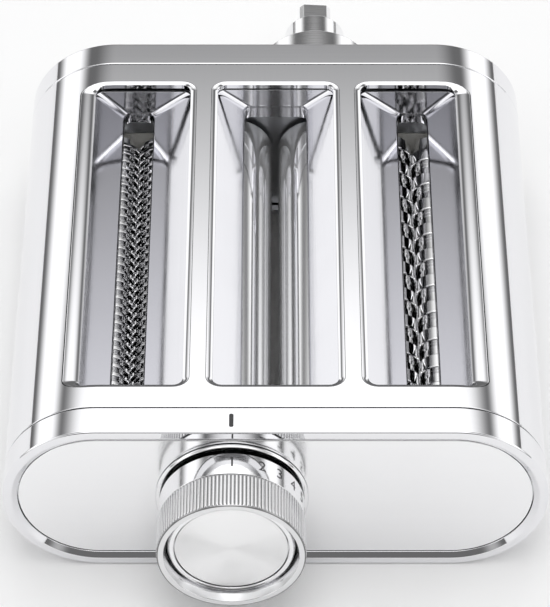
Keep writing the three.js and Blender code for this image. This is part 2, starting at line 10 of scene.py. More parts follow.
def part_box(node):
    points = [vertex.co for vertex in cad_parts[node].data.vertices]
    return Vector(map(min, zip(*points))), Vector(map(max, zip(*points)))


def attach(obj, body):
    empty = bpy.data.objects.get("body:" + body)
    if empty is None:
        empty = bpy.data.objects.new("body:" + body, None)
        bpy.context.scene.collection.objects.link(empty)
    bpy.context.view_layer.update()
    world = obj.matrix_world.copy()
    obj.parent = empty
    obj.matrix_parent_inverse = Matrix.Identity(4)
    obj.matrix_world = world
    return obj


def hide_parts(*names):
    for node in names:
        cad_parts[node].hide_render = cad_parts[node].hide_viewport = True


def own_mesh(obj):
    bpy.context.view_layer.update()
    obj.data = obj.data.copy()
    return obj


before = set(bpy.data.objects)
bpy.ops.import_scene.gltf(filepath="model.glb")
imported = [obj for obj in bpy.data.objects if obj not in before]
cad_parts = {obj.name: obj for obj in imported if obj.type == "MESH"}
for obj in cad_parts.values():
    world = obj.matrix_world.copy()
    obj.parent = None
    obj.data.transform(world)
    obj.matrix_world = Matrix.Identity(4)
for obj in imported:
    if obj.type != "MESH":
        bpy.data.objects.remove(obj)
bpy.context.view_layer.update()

# ---- Frame of the drawing: millimetres, y from the casing's front rim, z from its middle ----

MM = 0.001
CASING_LOW, CASING_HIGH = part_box("housing_shell")
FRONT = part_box("front_cap")[0].y
MID_Z = (CASING_LOW.z + CASING_HIGH.z) / 2


def at(x, y, z):
    return Vector((x * MM, FRONT + y * MM, MID_Z + z * MM))


def span(node):
    """A node's lowest and highest corners in the drawing's millimetres."""
    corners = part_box(node)
    return [(c.x / MM, (c.y - FRONT) / MM, (c.z - MID_Z) / MM) for c in corners]


def centre(node):
    low, high = span(node)
    return (low[0] + high[0]) / 2, (low[2] + high[2]) / 2


RADIUS = (CASING_HIGH.z - CASING_LOW.z) / 2 / MM
HALF_FLAT = CASING_HIGH.x / MM - RADIUS
SHEET = 2.0
SEAM_START, SEAM_END = span("housing_shell")[0][1], span("housing_shell")[1][1]
KNOB_X, KNOB_Z = centre("dial_skirt")
LEFT_X, LEFT_Z = centre("left_sheet_roller")
DRIVE_X, DRIVE_Z = centre("hub_collar")

# ---- Camera ----

CAMERA_TILT = math.radians(43.78)
CAMERA_DISTANCE = 1.088
TARGET = at(-0.17, 88.2, -0.1)

camera = bpy.data.objects.new("camera", bpy.data.cameras.new("camera"))
bpy.context.scene.collection.objects.link(camera)
camera.data.lens = 195.3
camera.data.sensor_width = 36
camera.location = TARGET + CAMERA_DISTANCE * Vector((0, -math.cos(CAMERA_TILT), math.sin(CAMERA_TILT)))
camera.rotation_euler = (math.pi / 2 - CAMERA_TILT, 0, 0)
bpy.context.scene.camera = camera

# ---- Materials ----


class Nodes:
    """A short way to write a node tree."""

    def __init__(self, tree):
        self.tree = tree
        tree.nodes.clear()

    def add(self, kind, inputs=None, **settings):
        node = self.tree.nodes.new(kind)
        for name, value in settings.items():
            setattr(node, name, value)
        for name, value in (inputs or {}).items():
            if isinstance(value, bpy.types.NodeSocket):
                self.tree.links.new(value, node.inputs[name])
            else:
                node.inputs[name].default_value = value
        return node

    def remap(self, value, low, high, to_low, to_high, smooth=True):
        kind = "SMOOTHSTEP" if smooth else "LINEAR"
        inputs = {"Value": value, "From Min": low, "From Max": high, "To Min": to_low, "To Max": to_high}
        return self.add("ShaderNodeMapRange", inputs, interpolation_type=kind).outputs["Result"]

    def math(self, operation, a, b=0.0):
        return self.add("ShaderNodeMath", {0: a, 1: b}, operation=operation).outputs[0]

    def mix(self, factor, a, b):
        node = self.add("ShaderNodeMix", data_type="RGBA")
        for index, value in ((0, factor), (6, a), (7, b)):
            if isinstance(value, bpy.types.NodeSocket):
                self.tree.links.new(value, node.inputs[index])
            else:
                node.inputs[index].default_value = value
        return node.outputs[2]


def grey(colour, share):
    return tuple(min(1.0, c * share) for c in colour) + (1.0,)


def metal(
    name, colour, roughness, stretch, grain=0.015, wear=0.06,
    anisotropic=0.0, radial=None, groove_shade=None, metallic=1.0,
):
    """Steel with a fine grain drawn out along `stretch`, faint smears and a little uneven polish.

    Painted shade for grooves is given as an axis and two distances from it: the colour is painted dark at the
    first distance and left as it is at the second, standing in for the shade that falls in a knurl's grooves.
    """
    material = bpy.data.materials.new(name)
    material.use_nodes = True
    n = Nodes(material.node_tree)
    place = n.add("ShaderNodeTexCoord").outputs["Object"]
    drawn = n.add("ShaderNodeMapping", {"Vector": place, "Scale": stretch}).outputs["Vector"]
    lines = n.add("ShaderNodeTexNoise", {"Vector": drawn, "Scale": 1.0, "Detail": 4.0, "Roughness": 0.6})
    smears = n.add("ShaderNodeTexNoise", {"Vector": place, "Scale": 38.0, "Detail": 3.0, "Roughness": 0.55})
    scuffs = n.add("ShaderNodeTexNoise", {"Vector": place, "Scale": 260.0, "Detail": 2.0})
    fog = n.remap(smears.outputs["Fac"], 0.35, 0.75, 0.0, 1.0)
    marks = n.remap(scuffs.outputs["Fac"], 0.62, 0.8, 0.0, 1.0)
    rough = n.math("MULTIPLY_ADD", lines.outputs["Fac"], roughness * 0.5)
    rough.node.inputs[2].default_value = roughness * 0.7
    haze = n.math("MULTIPLY", fog, roughness * wear * 4)
    rough = n.math("ADD", rough, haze)
    rough = n.math("ADD", rough, n.math("MULTIPLY", marks, roughness * wear * 3))
    tone = n.mix(lines.outputs["Fac"], grey(colour, 1 - wear * 0.5), grey(colour, 1.0))
    tone = n.mix(n.math("MULTIPLY", fog, wear), tone, grey(colour, 0.85))
    # Painted shade: the colour darkens towards the groove floors, standing in for the shade that falls in the
    # grooves.
    if groove_shade:
        axis, floor, top = groove_shade
        off = n.add("ShaderNodeVectorMath", {0: place, 1: axis}, operation="SUBTRACT").outputs[0]
        flat = n.add("ShaderNodeVectorMath", {0: off, 1: (1, 0, 1)}, operation="MULTIPLY").outputs[0]
        radius = n.add("ShaderNodeVectorMath", {0: flat}, operation="LENGTH").outputs["Value"]
        above_floor = n.remap(radius, floor - 3e-4, floor, 0.0, 1.0)
        shade = n.math("MULTIPLY", n.remap(radius, floor, top, 0.95, 0.0), above_floor)
        tone = n.mix(shade, tone, grey(colour, 0.08))
    bump = n.add("ShaderNodeBump", {"Strength": grain, "Distance": 0.0002, "Height": lines.outputs["Fac"]})
    inputs = {"Base Color": tone, "Metallic": metallic, "Roughness": rough, "Normal": bump.outputs["Normal"]}
    if anisotropic:
        inputs["Anisotropic"] = anisotropic
    if radial:
        tangent = n.add("ShaderNodeTangent", direction_type="RADIAL", axis=radial)
        inputs["Tangent"] = tangent.outputs["Tangent"]
    shader = n.add("ShaderNodeBsdfPrincipled", inputs)
    n.add("ShaderNodeOutputMaterial", {"Surface": shader.outputs["BSDF"]})
    return material


def nylon(name, colour, roughness):
    """Moulded plastic with a fine spark texture."""
    material = bpy.data.materials.new(name)
    material.use_nodes = True
    n = Nodes(material.node_tree)
    place = n.add("ShaderNodeTexCoord").outputs["Object"]
    cloud = n.add("ShaderNodeTexNoise", {"Vector": place, "Scale": 90.0, "Detail": 3.0})
    spark = n.add("ShaderNodeTexNoise", {"Vector": place, "Scale": 2600.0, "Detail": 2.0})
    tone = n.mix(cloud.outputs["Fac"], grey(colour, 0.88), grey(colour, 1.08))
    rough = n.remap(spark.outputs["Fac"], 0.3, 0.7, roughness - 0.08, roughness + 0.08)
    bump = n.add("ShaderNodeBump", {"Strength": 0.25, "Distance": 0.0001, "Height": spark.outputs["Fac"]})
    inputs = {"Base Color": tone, "Roughness": rough, "Normal": bump.outputs["Normal"]}
    shader = n.add("ShaderNodeBsdfPrincipled", inputs)
    n.add("ShaderNodeOutputMaterial", {"Surface": shader.outputs["BSDF"]})
    return material


ALONG = (900.0, 14.0, 900.0)  # grain drawn out along the machine
AROUND = (60.0, 2600.0, 60.0)  # turned grooves round the Y axis
ACROSS = (14.0, 900.0, 900.0)

STEEL = (0.86, 0.86, 0.88)
MIRROR = metal("mirror_steel", STEEL, 0.035, ALONG, grain=0.006)
CAP = metal("cap_steel", STEEL, 0.03, ACROSS, grain=0.006)
HOPPER = metal("hopper_steel", (0.73, 0.73, 0.76), 0.09, ALONG, grain=0.03)
ROLLER = metal("roller_steel", (0.9, 0.9, 0.91), 0.06, ALONG, grain=0.008, metallic=0.8)
CUTTER = metal("cutter_steel", (0.94, 0.94, 0.95), 0.1, AROUND, grain=0.02)
TURNED = metal("turned_steel", (0.9, 0.9, 0.91), 0.1, AROUND, grain=0.05)
# The knurl's steel is painted darker than the other steel, standing in for the dark surroundings it reflects,
# and painted shade fills its grooves.
KNURL_FLOOR, KNURL_TOP = 0.02268, 0.0231  # metres from the dial's axis
KNURL_GROOVE_SHADE = (at(KNOB_X, 0, KNOB_Z), KNURL_FLOOR, KNURL_TOP)
KNURL = metal("knurl_steel", (0.78, 0.78, 0.79), 0.12, AROUND, grain=0.05, groove_shade=KNURL_GROOVE_SHADE)
PANEL_STEEL = metal("panel_steel", (0.92, 0.92, 0.93), 0.13, ACROSS, grain=0.01)
DIAL_STEEL = metal("dial_steel", (0.93, 0.93, 0.94), 0.07, AROUND, grain=0.02)
SPUN = metal("spun_steel", (0.98, 0.98, 0.985), 0.36, AROUND, grain=0.12, anisotropic=0.95, radial="Y")
PLATE = metal("plate_steel", (0.5, 0.51, 0.53), 0.3, (240.0, 240.0, 240.0), grain=0.1)
GEAR = metal("gear_steel", (0.36, 0.36, 0.38), 0.4, (500.0, 500.0, 500.0), grain=0.2, wear=0.15)
WIRE = metal("wire_steel", (0.62, 0.62, 0.64), 0.22, (300.0, 300.0, 300.0), grain=0.05)
BLACK_NYLON = nylon("black_nylon", (0.03, 0.03, 0.033), 0.45)
WHITE_NYLON = nylon("white_nylon", (0.78, 0.77, 0.73), 0.42)
INK = nylon("ink", (0.035, 0.035, 0.037), 0.35)

# ---- Mesh code ----


def rounded(points, radius, steps=3, closed=True):
    """The outline with its corners rounded. A point's third number is its own radius."""
    made, count = [], len(points)
    for i, point in enumerate(points):
        corner = Vector(point[:2])
        size = point[2] if len(point) > 2 else radius
        if not size or (not closed and i in (0, count - 1)):
            made.append(tuple(corner))
            continue
        back = Vector(points[i - 1][:2]) - corner
        ahead = Vector(points[(i + 1) % count][:2]) - corner
        reach = min(back.length, ahead.length) * 0.49
        back.normalize()
        ahead.normalize()
        half = back.angle(ahead) / 2
        tangent = min(size / math.tan(half), reach)
        size = tangent * math.tan(half)
        middle = corner + (back + ahead).normalized() * size / math.sin(half)
        start, end = corner + back * tangent - middle, corner + ahead * tangent - middle
        turn = math.atan2(start.x * end.y - start.y * end.x, start.dot(end))
        for k in range(steps + 1):
            angle = turn * k / steps
            c, s = math.cos(angle), math.sin(angle)
            made.append((middle.x + c * start.x - s * start.y, middle.y + s * start.x + c * start.y))
    return made


class Skin:
    """A surface of faces with a normal at each corner, joined where their points meet."""

    def __init__(self):
        self.points, self.index, self.faces, self.normals = [], {}, [], []

    def vertex(self, point):
        key = tuple(round(c, 4) for c in point)
        if key not in self.index:
            self.index[key] = len(self.points)
            self.points.append(point)
        return self.index[key]

    def face(self, corners, normals):
        ids = [self.vertex(tuple(c)) for c in corners]
        kept = [k for k in range(len(ids)) if ids[k] != ids[k - 1]]
        if len({ids[k] for k in kept}) < 3:
            return
        self.faces.append([ids[k] for k in kept])
        self.normals.extend(tuple(normals[k]) for k in kept)

    def grid(self, rows, loop=False, turn=True, flip=False, edge_normals=None, skip=None):
        """Faces between rows of points. `loop` joins the last row to the first, `turn` each row's ends."""
        rows = [[Vector(p) for p in row] for row in rows]
        high, wide = len(rows), len(rows[0])
        normals = []
        for i in range(high):
            up = rows[i - 1] if i or loop else None
            down = rows[(i + 1) % high] if i < high - 1 or loop else None
            line = []
            for j in range(wide):
                here = rows[i][j]
                left = rows[i][j - 1] if j or turn else None
                right = rows[i][(j + 1) % wide] if j < wide - 1 or turn else None
                along = tangent_of(up[j] if up else None, here, down[j] if down else None)
                across = tangent_of(left, here, right)
                normal = along.cross(across) * (-1 if flip else 1)
                line.append(normal.normalized() if normal.length > 1e-9 else None)
            normals.append(line)
        if edge_normals:
            for i, line in edge_normals.items():
                normals[i] = [Vector(v) for v in line]
        for i in range(high if loop else high - 1):
            for j in range(wide if turn else wide - 1):
                if skip and skip(i, j):
                    continue
                k, m = (i + 1) % high, (j + 1) % wide
                places = [(i, j), (k, j), (k, m), (i, m)]
                if flip:
                    places.reverse()
                corners = [rows[a][b] for a, b in places]
                flat = (corners[2] - corners[0]).cross(corners[3] - corners[1])
                if flat.length < 1e-9:
                    continue
                flat.normalize()
                self.face(corners, [normals[a][b] or flat for a, b in places])

    def lid(self, loops, normal):
        """A flat face inside the first loop and outside the others."""
        normal = Vector(normal)
        loops = [[Vector(p) for p in loop] for loop in loops]
        flat = [p for loop in loops for p in loop]
        for a, b, c in tessellate_polygon(loops):
            facing = (flat[b] - flat[a]).cross(flat[c] - flat[a])
            if facing.length < 1e-9:
                continue
            order = (a, b, c) if facing.dot(normal) > 0 else (a, c, b)
            self.face([flat[k] for k in order], [normal] * 3)

    def make(self, name, material, body, *replaced, slot=None):
        mesh = bpy.data.meshes.new(name)
        mesh.from_pydata([at(*p) for p in self.points], [], self.faces)
        mesh.normals_split_custom_set([Vector(v).normalized() for v in self.normals])
        mesh.materials.append(material)
        return place(bpy.data.objects.new(name, mesh), body, *replaced, slot=slot)


def tangent_of(before, here, after):
    """The surface's direction through a point, taken from the longer side where a flat meets a curve."""
    if before is None:
        return after - here
    if after is None:
        return here - before
    if (after - here).length > 2.5 * (here - before).length:
        return after - here
    if (here - before).length > 2.5 * (after - here).length:
        return here - before
    return after - before


def place(piece, body, *replaced, slot=None):
    bpy.context.scene.collection.objects.link(piece)
    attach(piece, body)
    if replaced:
        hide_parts(*replaced)
    return piece


def circle(x, z, steps):
    """A path of centres and outward directions round a Y axis."""
    angles = [2 * math.pi * k / steps for k in range(steps)]
    return [(x, z, math.cos(a), math.sin(a)) for a in angles]


def stadium(arc_steps, flats=()):
    """The path round the casing's section; `flats` adds places along its top."""
    path = []
    for side in (1, -1):
        for k in range(arc_steps + 1):
            angle = side * (math.pi * k / arc_steps - math.pi / 2)
            path.append((side * HALF_FLAT, 0, side * abs(math.cos(angle)), math.sin(angle)))
        if side > 0:
            path += [(x, 0, 0, 1) for x in sorted(flats, reverse=True)]
    return path


def counterclockwise(profile):
    area = sum(a[0] * b[1] - b[0] * a[1] for a, b in zip(profile, profile[1:] + profile[:1]))
    return profile if area > 0 else profile[::-1]


def sweep_rows(profile, path):
    return [[(x + r * dx, y, z + r * dz) for x, z, dx, dz in path] for r, y in profile]


def turned(name, profile, x, z, material, body, *replaced, edge=0.2, facets=96, slot=None, steps=3):
    """A solid of revolution from a closed profile of (radius, y, edge radius)."""
    skin = Skin()
    outline = [p if p[0] > 0 else (p[0], p[1], 0) for p in profile]
    outline = rounded(counterclockwise(outline), edge, steps)
    skin.grid(sweep_rows(outline, circle(x, z, facets)), loop=True)
    return skin.make(name, material, body, *replaced, slot=slot)


# ---- Casing ----

ARC = math.pi * RADIUS
RIGHT_ARC_END = HALF_FLAT + ARC
BOTTOM_END = RIGHT_ARC_END + 2 * HALF_FLAT
ROLL_START = -HALF_FLAT - ARC / 2
ROLL_END = BOTTOM_END + ARC / 2


def unrolled(x, radius, top):
    """The distance round the casing's skin, from the middle of its top, of a place at x."""
    over = max(0.0, abs(x) - HALF_FLAT)
    arc = RADIUS * math.asin(min(1.0, over / radius))
    if top:
        return x if not over else math.copysign(HALF_FLAT + arc, x)
    if not over:
        return RIGHT_ARC_END + HALF_FLAT - x
    return RIGHT_ARC_END - arc if x > 0 else BOTTOM_END + arc


def rolled(distance, radius):
    """(x, z, outward x, outward z) at a distance round the skin."""
    if distance < -HALF_FLAT:
        side, foot, angle = -1, -HALF_FLAT, (-HALF_FLAT - distance) / RADIUS
    elif distance <= HALF_FLAT:
        return distance, radius, 0.0, 1.0
    elif distance < RIGHT_ARC_END:
        side, foot, angle = 1, HALF_FLAT, (distance - HALF_FLAT) / RADIUS
    elif distance <= BOTTOM_END:
        return HALF_FLAT - (distance - RIGHT_ARC_END), -radius, 0.0, -1.0
    else:
        side, foot, angle = -1, -HALF_FLAT, math.pi - (distance - BOTTOM_END) / RADIUS
    dx, dz = side * math.sin(angle), math.cos(angle)
    return foot + radius * dx, radius * dz, dx, dz


def skin_height(x, radius):
    over = max(0.0, abs(x) - HALF_FLAT)
    return math.sqrt(max(0.0, radius * radius - over * over))


def slot_outline(x_span, y_span, corner, arc_steps=6, pitch=3.0):
    """Points and outward directions round a rounded slot, with extra points along its short ends."""
    made = []
    (left, right), (start, end) = x_span, y_span
    for cx, cy, first in (
        (right - corner, start + corner, -90),
        (right - corner, end - corner, 0),
        (left + corner, end - corner, 90),
        (left + corner, start + corner, 180),
    ):
        for k in range(arc_steps + 1):
            a = math.radians(first + 90 * k / arc_steps)
            dx, dy = math.cos(a), math.sin(a)
            made.append((cx + corner * dx, cy + corner * dy, dx, dy))
    full = []
    for here, following in zip(made, made[1:] + made[:1]):
        full.append(here)
        gap = math.dist(here[:2], following[:2])
        count = int(gap / pitch)
        for k in range(1, count):
            t = k / count
            full.append(tuple(a + (b - a) * t for a, b in zip(here, following)))
    return full


def inside(point, loop):
    x, y = point
    odd = False
    for (ax, ay), (bx, by) in zip(loop, loop[1:] + loop[:1]):
        if (ay > y) != (by > y) and x < (bx - ax) * (y - ay) / (by - ay) + ax:
            odd = not odd
    return odd


ARC_PITCH = ARC / 60  # three degrees
ROW_PITCH = 3.0
SEAM_EDGE = 0.35
CASING_Y = (SEAM_START + SEAM_EDGE, SEAM_END - SEAM_EDGE)
COLUMNS = (
    [ROLL_START + ARC_PITCH * k for k in range(31)]
    + [HALF_FLAT + ARC_PITCH * k for k in range(61)]
    + [BOTTOM_END + ARC_PITCH * k for k in range(30)]
)


def casing_wall(skin, radius, outlines, outward):
    """One side of the casing's sheet, with a hole inside each outline of (distance round, y)."""
    rows = round((CASING_Y[1] - CASING_Y[0]) / ROW_PITCH)
    ys = [CASING_Y[0] + (CASING_Y[1] - CASING_Y[0]) * k / rows for k in range(rows + 1)]
    columns = COLUMNS + [ROLL_END]
    boxes = []
    for loop in outlines:
        us, vs = [p[0] for p in loop], [p[1] for p in loop]
        boxes.append((min(us), max(us), min(vs), max(vs)))
    points, edges = [], []
    for loop in outlines:
        first = len(points)
        points += loop
        edges += [(first + k, first + (k + 1) % len(loop)) for k in range(len(loop))]
    clearance = 1.0
    for u in columns:
        for v in ys:
            near = any(
                a - clearance < u < b + clearance and c - clearance < v < d + clearance
                for a, b, c, d in boxes
            )
            if not near:
                points.append((u, v))
    made, _, faces, *_ = delaunay_2d_cdt([Vector(p) for p in points], edges, [], 0, 1e-5)
    for face in faces:
        corners = [made[k] for k in face]
        middle = sum(corners, Vector((0, 0))) / 3
        hit = [
            n for n, (a, b, c, d) in enumerate(boxes) if a < middle.x < b and c < middle.y < d
        ]
        if any(inside(middle, outlines[n]) for n in hit):
            continue
        solid, normals = [], []
        for p in corners:
            x, z, dx, dz = rolled(p.x, radius)
            solid.append((x, p.y, z))
            normals.append(Vector((dx, 0, dz)) * outward)
        facing = (Vector(solid[1]) - Vector(solid[0])).cross(Vector(solid[2]) - Vector(solid[0]))
        if facing.dot(normals[0] + normals[1] + normals[2]) < 0:
            solid.reverse()
            normals.reverse()
        skin.face(solid, normals)


FEED_Y = (21.0, 165.0)
FEEDS = {
    "spaghetti": {"mouth": (-61.3, -28.8), "throat": (-51.8, -41.8)},
    "sheet": {"mouth": (-19.7, 19.7), "throat": (-10.5, 10.5)},
    "fettuccine": {"mouth": (28.8, 61.3), "throat": (41.8, 51.8)},
}
EXITS = [(-56.2, -37.2), (-12.0, 12.0), (37.2, 56.2)]
ROLL_TURN = math.radians(40)  # how far an opening's edge is rolled down
ROLL_STEPS = 8
MOUTH_ROLL = {"outer": 5.2, "inner": 2.1, "ends": 1.4}  # how far the roll reaches into the sheet
EXIT_ROLL = {"outer": 0.7, "inner": 0.7, "ends": 0.7}


def rolled_edge(skin, outline, reach, top):
    """An opening's edge, rolled down and then cut straight. Returns its outline on each side of the sheet."""
    side = 1 if top else -1
    rows, outer, inner, edge = [], [], [], []
    for k in range(ROLL_STEPS + 1):
        turn = ROLL_TURN * k / ROLL_STEPS
        left = 1 - math.sin(turn) / math.sin(ROLL_TURN)
        row = []
        for x, y, dx, dy in outline:
            across = reach["outer"] if x * dx > 0 and abs(x) > HALF_FLAT else reach["inner"]
            wide = math.hypot(across * dx, reach["ends"] * dy)
            px, py = x + across * dx * left, y + reach["ends"] * dy * left
            drop = wide * (1 - math.cos(turn)) / math.sin(ROLL_TURN)
            row.append((px, py, side * (skin_height(px, RADIUS) - drop)))
        rows.append(row)
    for px, py, _ in rows[0]:
        u = unrolled(px, RADIUS, top)
        outer.append((u, py))
        _, _, dx, dz = rolled(u, RADIUS)
        edge.append((dx, 0, dz))
    floor = [(x, y, side * skin_height(x, RADIUS - SHEET)) for x, y, _, _ in outline]
    for px, py, _ in floor:
        inner.append((unrolled(px, RADIUS - SHEET, top), py))
    skin.grid(rows, flip=not top, edge_normals={0: edge})
    skin.grid([rows[-1], floor], flip=not top)
    return outer, inner


def casing():
    skin = Skin()
    outer, inner = [], []
    for feed in FEEDS.values():
        a, b = rolled_edge(skin, slot_outline(feed["mouth"], FEED_Y, 3.2), MOUTH_ROLL, True)
        outer.append(a)
        inner.append(b)
    for x_span in EXITS:
        a, b = rolled_edge(skin, slot_outline(x_span, FEED_Y, 1.0), EXIT_ROLL, False)
        outer.append(a)
        inner.append(b)
    casing_wall(skin, RADIUS, outer, 1)
    casing_wall(skin, RADIUS - SHEET, inner, -1)
    path = [(x - RADIUS * dx, 0.0, dx, dz) for x, _, dx, dz in (rolled(u, RADIUS) for u in COLUMNS)]
    path.reverse()
    inside_radius, ends = RADIUS - SHEET, (SEAM_START, SEAM_END)
    for near, far in ((ends[0], CASING_Y[0]), (ends[1], CASING_Y[1])):
        corners = [(RADIUS, far), (RADIUS, near), (inside_radius, near), (inside_radius, far)]
        profile = rounded(corners, SEAM_EDGE, 4, closed=False)[1:-1]
        profile = [(RADIUS, far)] + profile[1:-1] + [(inside_radius, far)]
        if near < far:
            profile.reverse()
        skin.grid(sweep_rows(profile, path))
    return skin.make("casing", MIRROR, "root", "housing_shell", slot="polished_steel")


casing()


# ---- Caps and front panel ----

ARC_STEPS = 64
CAP_FRONT = span("front_cap")
RIM_FACE, RIM_INSET, RIM_DEPTH = 2.8, 4.6, 1.2
PANEL = span("front_panel")
PANEL_EDGE, PANEL_HOLE = 0.3, 5.0
SHAFT_HOLE, AXLE_HOLE, SCREW_HOLE = 7.5, 4.2, 2.2
SCREWS = range(1, 5)
HOLE_FACETS = 40
WEB = (PANEL[1][1] + 0.3, PANEL[1][1] + 2.6)
WEB_RADIUS = 13.0
MARK_HALF, MARK_START, MARK_END, MARK_DEPTH = 0.72, 2.3, 8.04, 0.3


def pill(x, y_start, y_end, half, z, steps=8):
    """A slot with round ends, seen from above."""
    points = []
    for y, first in ((y_end - half, 0), (y_start + half, 180)):
        for k in range(steps + 1):
            a = math.radians(first + 180 * k / steps)
            points.append((x + half * math.cos(a), y + half * math.sin(a), z))
    return points


def front_cap():
    skin = Skin()
    seam = CAP_FRONT[1][1]
    start, end = MARK_START - 0.5, MARK_END + 0.5
    left, right = KNOB_X - MARK_HALF - 0.5, KNOB_X + MARK_HALF + 0.5
    profile = rounded(
        counterclockwise(
            [
                (RADIUS, seam, 0.35),
                (RADIUS, end, 0),
                (RADIUS, start, 0),
                (RADIUS, 0, 0.7),
                (RADIUS - RIM_FACE, 0, 0.45),
                (RADIUS - RIM_INSET, RIM_DEPTH, 0.3),
                (RADIUS - RIM_INSET, WEB[0], 0),
                (WEB_RADIUS, WEB[0]),
                (WEB_RADIUS, WEB[1]),
                (RADIUS - SHEET, WEB[1], 0.8),
                (RADIUS - SHEET, seam),
            ]
        ),
        0.25,
        4,
    )
    path = stadium(ARC_STEPS, flats=(left, right))
    rows = sweep_rows(profile, path)

    def mark_panel(i, j):
        quad = [rows[a % len(rows)][b % len(path)] for a in (i, i + 1) for b in (j, j + 1)]
        return all(
            abs(z - RADIUS) < 1e-6 and left - 1e-6 <= x <= right + 1e-6 and start - 1e-6 <= y <= end + 1e-6
            for x, y, z in quad
        )

    skin.grid(rows, loop=True, skip=mark_panel)
    top, floor = (
        pill(KNOB_X, MARK_START, MARK_END, MARK_HALF, RADIUS - drop) for drop in (0.0, MARK_DEPTH)
    )
    corners = [(left, start, RADIUS), (right, start, RADIUS), (right, end, RADIUS), (left, end, RADIUS)]
    skin.lid([corners, top], (0, 0, 1))
    skin.grid([top, floor])
    skin.lid([floor], (0, 0, 1))
    skin.make("front_cap_steel", CAP, "root", "front_cap", slot="polished_steel")

    mark = Skin()
    levels = [(RADIUS - MARK_DEPTH + 0.02, 0.04), (RADIUS - 0.07, 0.04), (RADIUS - 0.02, 0.1)]
    loops = [pill(KNOB_X, MARK_START + g, MARK_END - g, MARK_HALF - g, z) for z, g in levels]
    mark.grid(loops, flip=True)
    mark.lid([loops[-1]], (0, 0, 1))
    mark.lid([loops[0]], (0, 0, -1))
    mark.make("index_mark", INK, "root")


front_cap()


def close_plate(skin, faces, holes):
    """The flat faces of a plate, as (outline, normal), with round holes of (x, z, radius) in them."""
    for row, normal in faces:
        rings = [sweep_rows([(r, row[0][1])], circle(x, z, HOLE_FACETS))[0] for x, z, r in holes]
        skin.lid([row, *rings], normal)


def holes_through(skin, holes, near, far):
    """The walls of those holes."""
    for x, z, r in holes:
        skin.grid(sweep_rows([(r, near), (r, far)], circle(x, z, HOLE_FACETS)), flip=True)


def front_panel():
    low, high = PANEL
    radius = (high[2] - low[2]) / 2
    corners = [(radius - 1, low[1]), (radius, low[1]), (radius, high[1]), (radius - 1, high[1])]
    rows = sweep_rows(rounded(corners, PANEL_EDGE, 4, closed=False), stadium(ARC_STEPS))
    holes = [(KNOB_X, KNOB_Z, PANEL_HOLE)]
    skin = Skin()
    skin.grid(rows)
    close_plate(skin, ((rows[0], (0, -1, 0)), (rows[-1], (0, 1, 0))), holes)
    holes_through(skin, holes, low[1], high[1])
    skin.make("front_panel_steel", PANEL_STEEL, "root", "front_panel", slot="polished_steel")


front_panel()


def rear_cap():
    low, high = span("rear_cap")
    seam, back = low[1], high[1]
    skin = Skin()
    profile = rounded(
        [
            (RADIUS - 2.5, back),
            (RADIUS, back, 0.8),
            (RADIUS, seam, 0.35),
            (RADIUS - SHEET, seam, 0.35),
            (RADIUS - SHEET, back - SHEET, 0.8),
            (RADIUS - 4, back - SHEET),
        ][::-1],
        0.3,
        4,
        closed=False,
    )
    rows = sweep_rows(profile, stadium(ARC_STEPS))
    skin.grid(rows)
    holes = [(DRIVE_X, DRIVE_Z, SHAFT_HOLE), (KNOB_X, KNOB_Z, AXLE_HOLE)]
    holes += [(*centre(f"rear_screw_{k}"), SCREW_HOLE) for k in SCREWS]
    close_plate(skin, ((rows[-1], (0, 1, 0)), (rows[0], (0, -1, 0))), holes)
    holes_through(skin, holes, back - SHEET, back)
    skin.make("rear_cap_steel", CAP, "root", "rear_cap", slot="polished_steel")


rear_cap()

# ---- Hoppers ----

HOPPER_SHEET, HOPPER_CORNER = 1.2, 2.6
NECK_HEIGHT = {"spaghetti": 16.5, "sheet": 20.0, "fettuccine": 16.5}
WHOLE_SIDES = 400.0  # a pitch longer than any side, so that no points are added along it


def hopper(name):
    node = f"{name}_hopper"
    low, high = span(node)
    top, lip = high[2], low[2]
    mouth, throat = FEEDS[name]["mouth"], FEEDS[name]["throat"]
    neck = NECK_HEIGHT[name]

    def section(reach):
        outline = [
            (reach, top),
            (0, neck, 1.6),
            (0, lip),
            (HOPPER_SHEET, lip),
            (HOPPER_SHEET, neck, 1.6),
            (reach + HOPPER_SHEET, top),
        ]
        rounded_outline = rounded(counterclockwise(outline), 0.35, 5)
        slope = [max(0.0, min(1.0, (z - neck) / (top - neck))) * reach for _, z in rounded_outline]
        return [(a, z, min(HOPPER_SHEET, max(0.0, a - s))) for (a, z), s in zip(rounded_outline, slope)]

    rows = []
    sides = zip(section(throat[0] - mouth[0]), section(mouth[1] - throat[1]))
    for (a, left_z, left_out), (b, right_z, right_out) in sides:
        left, right, out = throat[0] - a, throat[1] + b, (left_out + right_out) / 2
        y_span = (FEED_Y[0] - out, FEED_Y[1] + out)
        outline = slot_outline((left, right), y_span, HOPPER_CORNER + out, 6, WHOLE_SIDES)
        rise = (right_z - left_z) / (right - left)
        rows.append([(x, y, left_z + rise * (x - left)) for x, y, _, _ in outline])
    skin = Skin()
    skin.grid(rows, loop=True, flip=True)
    skin.make(f"{name}_funnel", HOPPER, "root", node, slot="hopper_steel")


for feed_name in FEEDS:
    hopper(feed_name)

# ---- Rollers and cutters ----


def node_radius(node):
    low, high = span(node)
    return (high[0] - low[0]) / 2


ROLLER_RADIUS = node_radius("right_sheet_roller")
ROLLER_Y = (span("right_sheet_roller")[0][1], span("right_sheet_roller")[1][1])
JOURNAL, AXLE_BORE, SHAFT_BORE, ROLLER_EDGE = 8.0, 5.0 + 0.3, 6.8, 0.4


